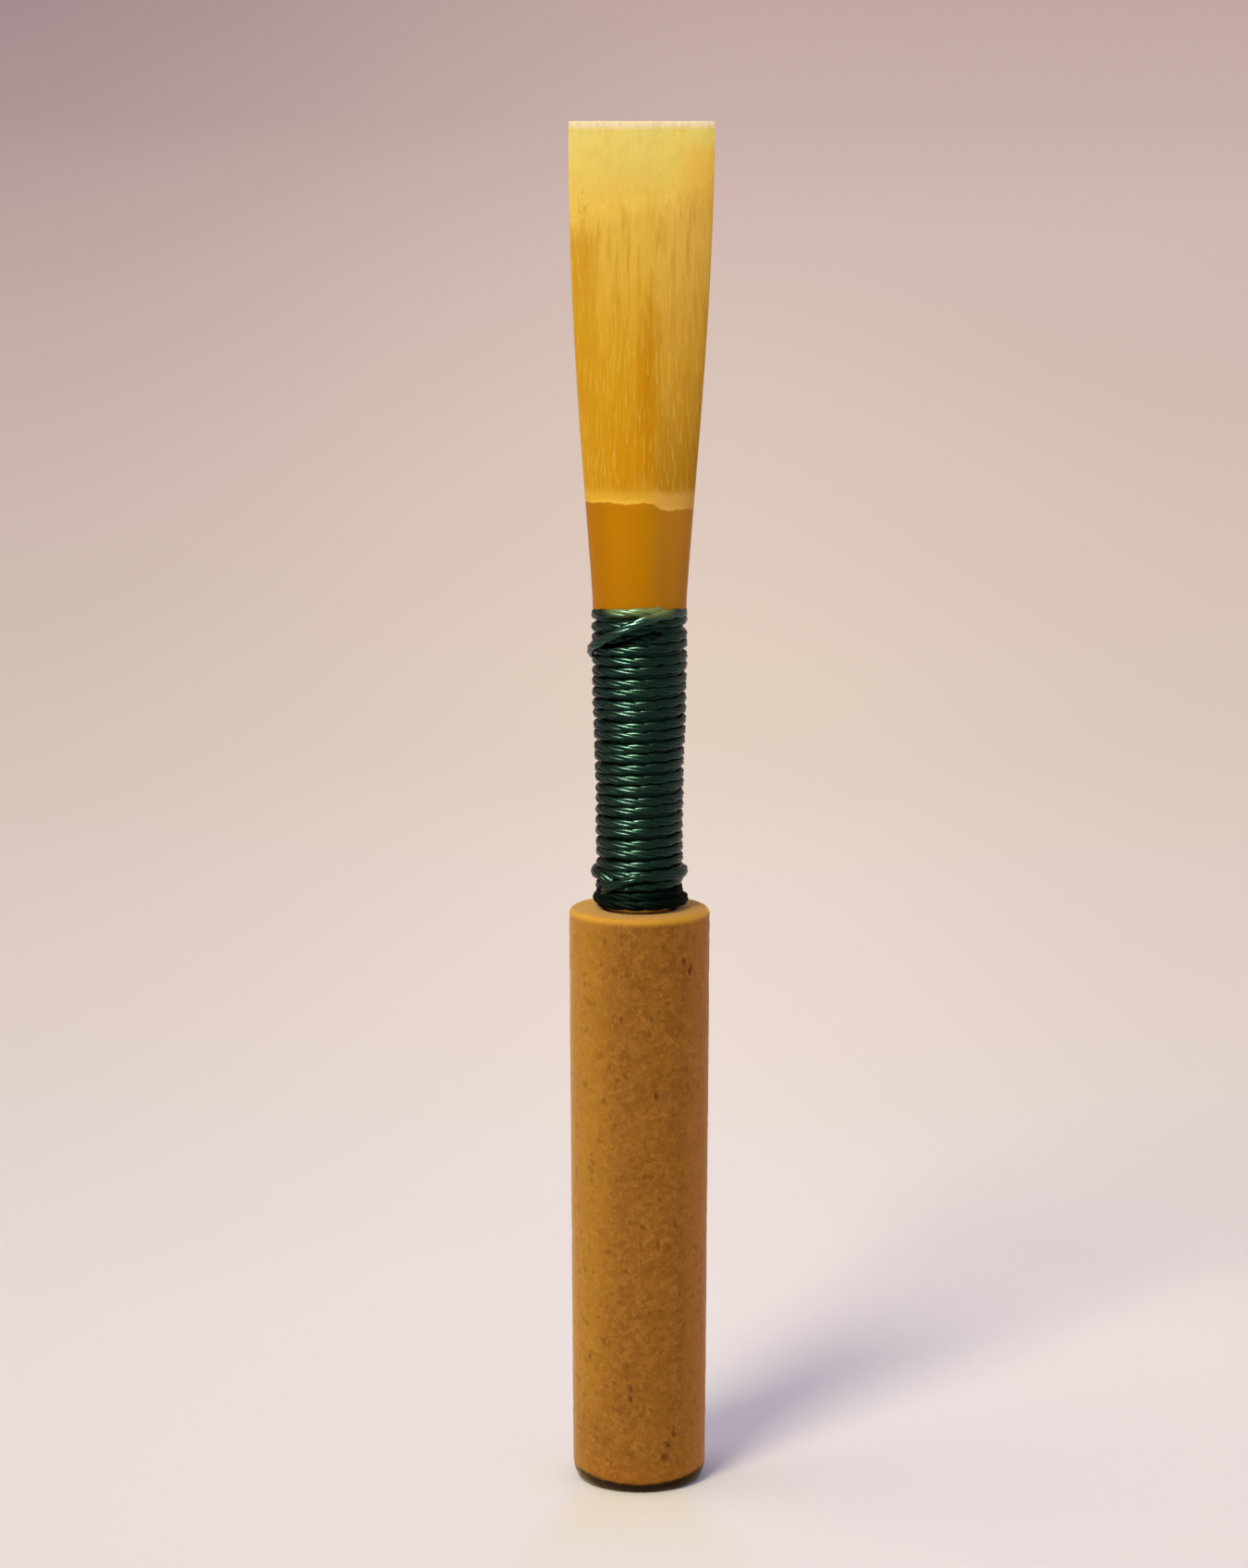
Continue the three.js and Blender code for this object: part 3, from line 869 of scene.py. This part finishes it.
def cork_finish():
    """Sanded agglomerate cork: fine granules in shades of tan, dark specks, pits darkened with painted
    shade, a rim lightened by wear and by a painted highlight, painted light on its sides and painted shade
    along its base.
    """
    material, work = start_finish("sanded_cork", colour(163, 106, 37))
    place = work.place()
    x, y, z = work.parts(place)
    wander = work.grain(place, 3.0)
    uneven = work.wandering(place, 7.0, 0.35)
    granule = work.cells(uneven, 4.2, output="Color")
    tone, _, chance = work.parts(granule)
    small = work.grain(place, 9, 4, 0.65)
    patch = work.grain(place, 0.5, 2)
    share = tone * 0.3 + small * 0.6 + patch * 0.25 - 0.08
    base = work.ramp(share, [
        (0.2, colour(116, 72, 16)), (0.42, colour(136, 86, 24)),
        (0.6, colour(148, 97, 31)), (0.85, colour(170, 118, 46))])
    edge = work.cells(uneven, 4.2, "DISTANCE_TO_EDGE")
    # Painted light: the left side is made lighter where the side lamp falls, less so towards the base.
    painted_light_left = work.climb(0 - x, 0.6, 3.1) * work.climb(z, 0, 9, 0.1, 0.5)
    base = work.mix(painted_light_left, base, colour(183, 131, 36))
    # Painted light: a lighter band down the right edge.
    painted_light_right = work.climb(x, 2, 3.2) * work.climb(z, 14, 28, 0.58, 0.42)
    base = work.mix(painted_light_right, base, colour(190, 118, 46))
    seam = 1 - work.climb(edge, 0.0, 0.14)
    base = work.mix(seam * 0.2, base, colour(104, 60, 12))
    speck = work.climb(chance, 0.95, 0.965)
    base = work.mix(speck * 0.4, base, colour(96, 50, 8))
    # Painted shade: the pits are darkened, the more the deeper they are sunk.
    base = work.mix(work.noted("pit") * 0.8, base, colour(62, 30, 8))
    # The top face and rim are lighter, partly from wear and partly as a painted highlight.
    rim = work.climb(z, 29.75, 30.1)
    base = work.mix(rim * 0.65, base, colour(217, 158, 48))
    from_axis = (x * x + y * y) ** 0.5
    above_lip = 1 - work.climb(z, 0.9, 2.6)
    base = work.mix(above_lip * 0.15, base, colour(170, 100, 22))
    # Painted shade: a near-black band along the rounded base, where it meets the floor.
    lip = 1 - work.climb(z - x * x * 0.03 + wander * 0.15, 0.5, 0.74)
    lip = lip * work.climb(from_axis, 2.7, 2.95)
    base = work.mix(lip * 0.97, base, colour(12, 4, 0))
    height = small * 0.6 + edge * 0.5
    end_finish(work, work.shade(
        Base_Color=base, Roughness=work.climb(small, 0.3, 0.7, 0.7, 0.9), Specular_IOR_Level=0.04,
        Sheen_Weight=0.6, Sheen_Roughness=0.35, Sheen_Tint=(1.0, 0.72, 0.36, 1),
        Normal=work.bump(height, 0.05, 0.6)))
    return material


def cane_finish():
    """Scraped cane: smooth bark, a pale cut edge, a grained heart and a pale thin tip, with painted shade
    down its right side and painted light at its tip.
    """
    material, work = start_finish("scraped_cane", colour(214, 160, 48))
    place = work.place()
    z = work.parts(place)[2]
    across = work.noted("across")
    above_bark = work.noted("above_bark")
    above_heart = work.noted("above_heart")
    outside = work.noted("outside")
    long_grain = work.grain(work.stretched(place, 4.2, 4.2, 0.34), 1, 4, 0.6)
    fine_grain = work.grain(work.stretched(place, 11, 11, 0.75), 1, 3, 0.6)
    mottle = work.grain(work.stretched(place, 3.4, 3.4, 1.6), 1, 3, 0.6)

    heart = work.ramp(work.climb(z, 50, 69), [
        (0.0, colour(190, 131, 2)), (0.35, colour(199, 148, 22)),
        (0.62, colour(204, 159, 43)), (0.85, colour(214, 174, 65))])
    # Painted shade: on its right side the heart takes darker, shaded colours.
    right = work.climb(across, 0.05, 0.45)
    shaded = work.ramp(work.climb(z, 50, 69), [
        (0.0, colour(167, 118, 20)), (0.375, colour(198, 150, 49)),
        (0.555, colour(201, 155, 58)), (0.84, colour(217, 172, 74))])
    heart = work.mix(right * 0.8, heart, shaded)
    spine = work.climb(across, -0.08, -0.02) * (1 - work.climb(across, 0.14, 0.36))
    spine = spine * (1 - work.climb(z, 58, 62.5))
    heart = work.mix(spine * 0.75, heart, colour(186, 124, 0))
    left_edge = (1 - work.climb(across, -0.8, -0.52)) * (1 - work.climb(z, 63.6, 65.4))
    heart = work.mix(left_edge * 0.75, heart, colour(190, 138, 22))
    heart = work.mix(work.climb(long_grain, 0.48, 0.66) * 0.38, heart, colour(180, 122, 10))
    heart = work.mix(work.climb(fine_grain, 0.5, 0.68) * 0.35, heart, colour(228, 186, 74))

    # The last stop is a pale line of painted highlight along the tip's top edge.
    tip = work.ramp(work.climb(z, 65.5, 70), [
        (0.0, colour(222, 186, 84)), (0.45, colour(221, 196, 93)),
        (0.972, colour(224, 204, 108)), (0.995, colour(231, 217, 174))])
    # Painted light: the tip's right side is made lighter, most of all along its top edge.
    at_lip = work.climb(z, 69.6, 69.9)
    lit_right_tip = work.mix(at_lip, colour(232, 208, 94), colour(240, 224, 186))
    tip = work.mix(right * between(0.3, 0.7, at_lip), tip, lit_right_tip)
    tip = work.mix(work.climb(mottle, 0.45, 0.65) * 0.3, tip, colour(212, 178, 70))
    golden = work.climb(across, 0.4, 0.8) * (1 - work.climb(z, 68.2, 69.2))
    tip = work.mix(golden * 0.55, tip, colour(232, 174, 60))
    foot = between(-0.8, -2.4, work.climb(across, -0.75, -0.3))
    top = between(-0.1, 0.6, work.climb(across, -0.75, -0.3))
    uneven_heart = above_heart + (mottle - 0.5) * 5 + (fine_grain - 0.5) * 1.5
    cane = work.mix(work.climb(uneven_heart, foot, top), heart, tip)

    # Painted shade: the bark is darker on its right side, most of all part way across.
    shaded_right_bark = work.mix(work.climb(across, 0.45, 0.85), colour(167, 113, 25), colour(180, 120, 30))
    bark = work.mix(right, colour(179, 117, 0), shaded_right_bark)
    bark = work.mix(work.climb(long_grain, 0.4, 0.7) * 0.25, bark, colour(184, 120, 4))
    bark = work.mix((1 - work.climb(across, -0.85, -0.4)) * 0.6, bark, colour(158, 96, 0))
    bark = work.mix((1 - work.climb(z, 46, 50)) * 0.25, bark, colour(150, 92, 0))
    cane = work.mix(work.climb(above_bark, -0.03, 0.03), bark, cane)

    middle = work.climb(across, -0.24, 0.04) * (1 - work.climb(across, 0.1, 0.34))
    smear = middle * (1 - work.climb(above_bark + (fine_grain - 0.5) * 0.6, 0.7, 1.5)) * 0.4
    cut_top = work.climb(above_bark + (fine_grain - 0.5) * 0.5 - right * 0.25, 0.3, 0.85)
    cut = work.climb(above_bark, -0.04, 0.02) * smear.most((1 - cut_top) * 0.85)
    cane = work.mix(cut, cane, work.mix(right, colour(208, 162, 46), colour(212, 161, 70)))
    cane = work.mix(outside, colour(222, 184, 100), cane)

    smooth_bark = 1 - work.climb(above_bark, -0.03, 0.03)
    rough = between(0.6, 0.42, smooth_bark) + (fine_grain - 0.5) * 0.2
    end_finish(work, work.shade(
        Base_Color=cane, Roughness=rough, Subsurface_Weight=0.08, Subsurface_Radius=(1.0, 0.6, 0.2),
        Subsurface_Scale=0.0004, Specular_IOR_Level=0.12, Specular_Tint=(1.0, 0.62, 0.16, 1),
        Normal=work.bump(long_grain + fine_grain * 0.6, 0.03, 0.5)))
    return material


def thread_finish(name, shine, painted_shade):
    """Dark green nylon, twisted and slightly glossy, nearly black and matt where painted shade is given,
    with painted light on its right and a painted highlight on its top turn.
    """
    material, work = start_finish(name, colour(30, 74, 54))
    place = work.place()
    x, _, z = work.parts(place)
    drift = work.grain(place, 1.1, 2)
    fibre = work.grain(work.stretched(place, 9, 9, 26), 1, 3, 0.6)
    base = work.ramp(drift * 0.6 + fibre * 0.5, [
        (0.3, colour(0, 7, 4)), (0.55, colour(3, 15, 10)), (0.8, colour(7, 29, 20))])
    # Painted shade: the turns near the cork are made nearly black and matt, and so is the whole shade
    # finish.
    near_cork = 1 - work.climb(z + drift * 0.3, 31.3, 31.6)
    # Painted light: a lighter tint down the right side.
    base = work.mix(work.climb(x, 0.9, 2.2) * 0.6, base, colour(17, 38, 34))
    painted_shade = near_cork.most(painted_shade)
    base = work.mix(painted_shade * 0.9, base, colour(1, 3, 2))
    # Painted highlight and reflection of the cane on the top turn, strongest in the middle.
    painted_cane_reflection = work.climb(z, 45.2, 45.8) * (1 - work.climb(abs(x), 1.2, 2.0))
    base = work.mix(painted_cane_reflection * 0.65, base, colour(140, 152, 84))
    worn = work.climb(z, 37, 41)
    rough = work.climb(fibre, 0.3, 0.7, 0.27, 0.41) + painted_shade * 0.25 - worn * 0.035
    end_finish(work, work.shade(
        Base_Color=base, Roughness=rough, Specular_IOR_Level=shine,
        Specular_Tint=(0.36, 1.0, 0.72, 1), Normal=work.bump(fibre, 0.01, 0.4)))
    return material


def brass_finish():
    """Drawn brass, faintly tarnished, with a soldered seam."""
    material, work = start_finish("drawn_brass", colour(201, 160, 78))
    place = work.place()
    drawn = work.grain(work.stretched(place, 7, 7, 0.3), 1, 4, 0.6)
    tarnish = work.grain(place, 0.8, 3)
    base = work.ramp(tarnish * 0.7 + drawn * 0.3, [
        (0.3, colour(168, 128, 58)), (0.55, colour(205, 164, 82)), (0.75, colour(224, 188, 108))])
    base = work.mix(work.noted("seam") * 0.5, base, colour(190, 186, 170))
    end_finish(work, work.shade(
        Base_Color=base, Metallic=1.0, Roughness=work.climb(drawn, 0.3, 0.7, 0.22, 0.38),
        Normal=work.bump(drawn, 0.01, 0.3)))
    return material


def glue_finish():
    """Dried contact glue, amber and slightly uneven."""
    material, work = start_finish("dried_glue", colour(138, 106, 60))
    place = work.place()
    lumps = work.grain(place, 2.4, 3)
    base = work.ramp(lumps, [(0.35, colour(112, 78, 36)), (0.7, colour(158, 122, 68))])
    end_finish(work, work.shade(Base_Color=base, Roughness=work.climb(lumps, 0.3, 0.7, 0.35, 0.6),
                                Normal=work.bump(lumps, 0.03, 0.5)))
    return material


# Camera, room and light

# The photograph's camera in millimetres and degrees, solved from the reed's own outline
CAMERA_DISTANCE = 222.06
CAMERA_HEIGHT = 72.74
CAMERA_TILT = 9.25
CAMERA_TURN = 0.204
SENSOR = 36
PHOTO_HEIGHT = 1696
FOCAL_PIXELS = 4773.6

# The floor's radius, and the distance beyond which its tones spread out
FLOOR_RADIUS = 6000
FLOOR_NEAR = 60
# The floor takes light and shadow up to the first distance, and shows only its tone beyond the second
SHADOW_FLOOR = (95, 260)
# The floor's tones by their distance from the reed
FLOOR_TONES = [
    (0, (231, 224, 215)), (40, (230, 221, 209)), (110, (229, 216, 200)), (190, (229, 213, 197)),
    (416, (224, 204, 190)), (1421, (212, 189, 180)), (3338, (204, 179, 173)), (6000, (201, 175, 170)),
]


def set_camera():
    """The photograph's camera, in front of the reed and just above its tip, looking down a little."""
    lens = bpy.data.cameras.new("camera")
    lens.sensor_width = SENSOR
    lens.lens = SENSOR * FOCAL_PIXELS / PHOTO_HEIGHT
    lens.clip_start = 0.01
    lens.clip_end = 50
    camera = bpy.data.objects.new("camera", lens)
    camera.location = (0, -CAMERA_DISTANCE / METRE, CAMERA_HEIGHT / METRE)
    camera.rotation_euler = (math.radians(90 - CAMERA_TILT), 0, math.radians(CAMERA_TURN))
    bpy.context.collection.objects.link(camera)
    bpy.context.scene.camera = camera


def hang_sun(name, left, height, strength, angle, shade, matt=True, gloss=True):
    """A soft distant lamp. left is in degrees to the left of the camera's side."""
    lamp = bpy.data.lights.new(name, "SUN")
    lamp.energy = strength
    lamp.angle = math.radians(angle)
    lamp.color = shade
    sun = bpy.data.objects.new(name, lamp)
    sun.rotation_euler = (math.radians(90 - height), 0, math.radians(-left))
    sun.visible_diffuse = matt
    sun.visible_glossy = gloss
    bpy.context.collection.objects.link(sun)


def fall_off(work, tone, aside, share):
    """The room is darker to the left, and the near floor a little darker to the right."""
    middle_floor = work.climb(share, 0.09, 0.2) * (1 - work.climb(share, 0.65, 0.9))
    left = work.climb(0 - aside, -0.03, 0.16) * (share * 0.33 + 0.01 + middle_floor * 0.035)
    right = work.climb(aside, 0.0, 0.14) * (0.02 + work.climb(share, 0.1, 0.2) * 0.085)
    right = right * (1 - work.climb(share, 0.58, 0.8))
    return work.mix(left + right, tone, (0.1, 0.06, 0.12, 1))


def lay_floor():
    """A pale floor that takes on the room's colour with distance, and keeps the shadow near the reed."""
    deselect()
    bpy.ops.mesh.primitive_circle_add(vertices=256, radius=FLOOR_RADIUS / METRE, fill_type="NGON")
    floor = bpy.context.object
    floor.name = "floor"
    material, work = start_finish("pale_floor", colour(231, 222, 220))
    x, y, _ = work.parts(work.place())
    away = (x * x + y * y) ** 0.5
    reach = math.log(1 + FLOOR_RADIUS / FLOOR_NEAR)
    share = work.node("ShaderNodeMath", {"operation": "LOGARITHM"}, [1 + away / FLOOR_NEAR, math.e]) / reach
    tone = work.ramp(share, [(math.log(1 + r / FLOOR_NEAR) / reach, colour(*c)) for r, c in FLOOR_TONES])
    tone = fall_off(work, tone, x / (away + round(CAMERA_DISTANCE)), share)
    # Painted light: a faint warm patch in front of the reed, as light thrown from the cork.
    painted_warm_light = (1 - work.climb(abs(x + 0.3) + y * 0.3, 0.3, 3.2)) * work.climb(0 - y, 1, 3.5)
    painted_warm_light = painted_warm_light * (1 - work.climb(0 - y, 2, 24))
    tone = work.mix(painted_warm_light, tone, work.mix(1.0, tone, (0.965, 0.945, 0.8, 1), "MULTIPLY"))
    lit = work.node("ShaderNodeBsdfDiffuse", None, {"Color": tone})
    far = work.node("ShaderNodeEmission", None, {"Color": tone, "Strength": 1.0})
    end_finish(work, work.node("ShaderNodeMixShader", None, [work.climb(away, *SHADOW_FLOOR), lit, far]))
    floor.data.materials.append(material)


def light_room():
    """Soft lavender light from all round, and the photograph's dusky pink behind for the camera."""
    world = bpy.data.worlds.new("room")
    world.use_nodes = True
    bpy.context.scene.world = world
    work = Work(world.node_tree)
    direction = work.node("ShaderNodeTexCoord", output="Generated")
    x, _, z = work.parts(direction)
    low_pink, high_pink = colour(204, 178, 173), colour(186, 158, 155)
    behind = work.ramp(work.climb(z, -0.035, 0.06), [(0.0, low_pink), (1.0, high_pink)])
    behind = fall_off(work, behind, x, work.climb(z, -0.04, 0.06, 0.92, 1.32))
    seen = work.node("ShaderNodeBackground", None, {"Color": behind, "Strength": 1.0})
    soft = work.node("ShaderNodeBackground", None, {"Color": (0.9, 0.87, 1.25, 1), "Strength": 0.545})
    camera = work.node("ShaderNodeLightPath", output="Is Camera Ray")
    glossy = work.node("ShaderNodeLightPath", output="Is Glossy Ray")
    through = work.node("ShaderNodeLightPath", output="Is Transmission Ray")
    shader = work.node("ShaderNodeMixShader", None, [camera.most(glossy).most(through), soft, seen])
    work.node("ShaderNodeOutputWorld", None, {"Surface": shader})


set_camera()
light_room()
hang_sun("key_lamp", left=29.8, height=45, strength=2.1, angle=19, shade=(1.0, 0.97, 0.77))
# The side lamp gives no highlights, and the glint lamp gives nothing else
hang_sun("side_lamp", left=95, height=14, strength=1.2, angle=70, shade=(1.0, 0.97, 0.9), gloss=False)
hang_sun("glint_lamp", left=34, height=45, strength=17, angle=21, shade=(1.0, 0.7, 0.62), matt=False)
lay_floor()
bpy.context.scene.view_settings.view_transform = "Standard"

cane = cane_finish()
thread = thread_finish("green_nylon", shine=0.3, painted_shade=0.0)
tight_thread = thread_finish("tight_nylon", shine=0.62, painted_shade=0.0)
painted_shade_thread = thread_finish("painted_shade_nylon", shine=0.04, painted_shade=1.0)

put_in_place(make_staple(), brass_finish(), "staple_brass", "staple_tube")
put_in_place(make_cork(), cork_finish(), "cork", "cork_sleeve")
front_blade = make_front_blade()
back_blade = make_back_blade(front_blade)
lean(front_blade)
lean(back_blade)
put_in_place(front_blade, cane, "cane", "cane_blade_front")
put_in_place(back_blade, cane, "cane", "cane_blade_back")
put_in_place(wind_first_layer(painted_shade_thread), thread, "thread", "thread_underlayer")
put_in_place(wind_outer_layer(painted_shade_thread), thread, "thread", "thread_winding")
put_in_place(lay_crossover(), tight_thread, "thread", "thread_crossover")
put_in_place(lay_upper_hitch(), thread, "thread", "thread_hitch_upper")
# The last turn takes the painted shade finish all over.
put_in_place(lay_lower_hitch(), painted_shade_thread, "thread", "thread_hitch_lower")

glue_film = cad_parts["cork_glue_film"]
glue_film.data.materials.clear()
glue_film.data.materials.append(glue_finish())
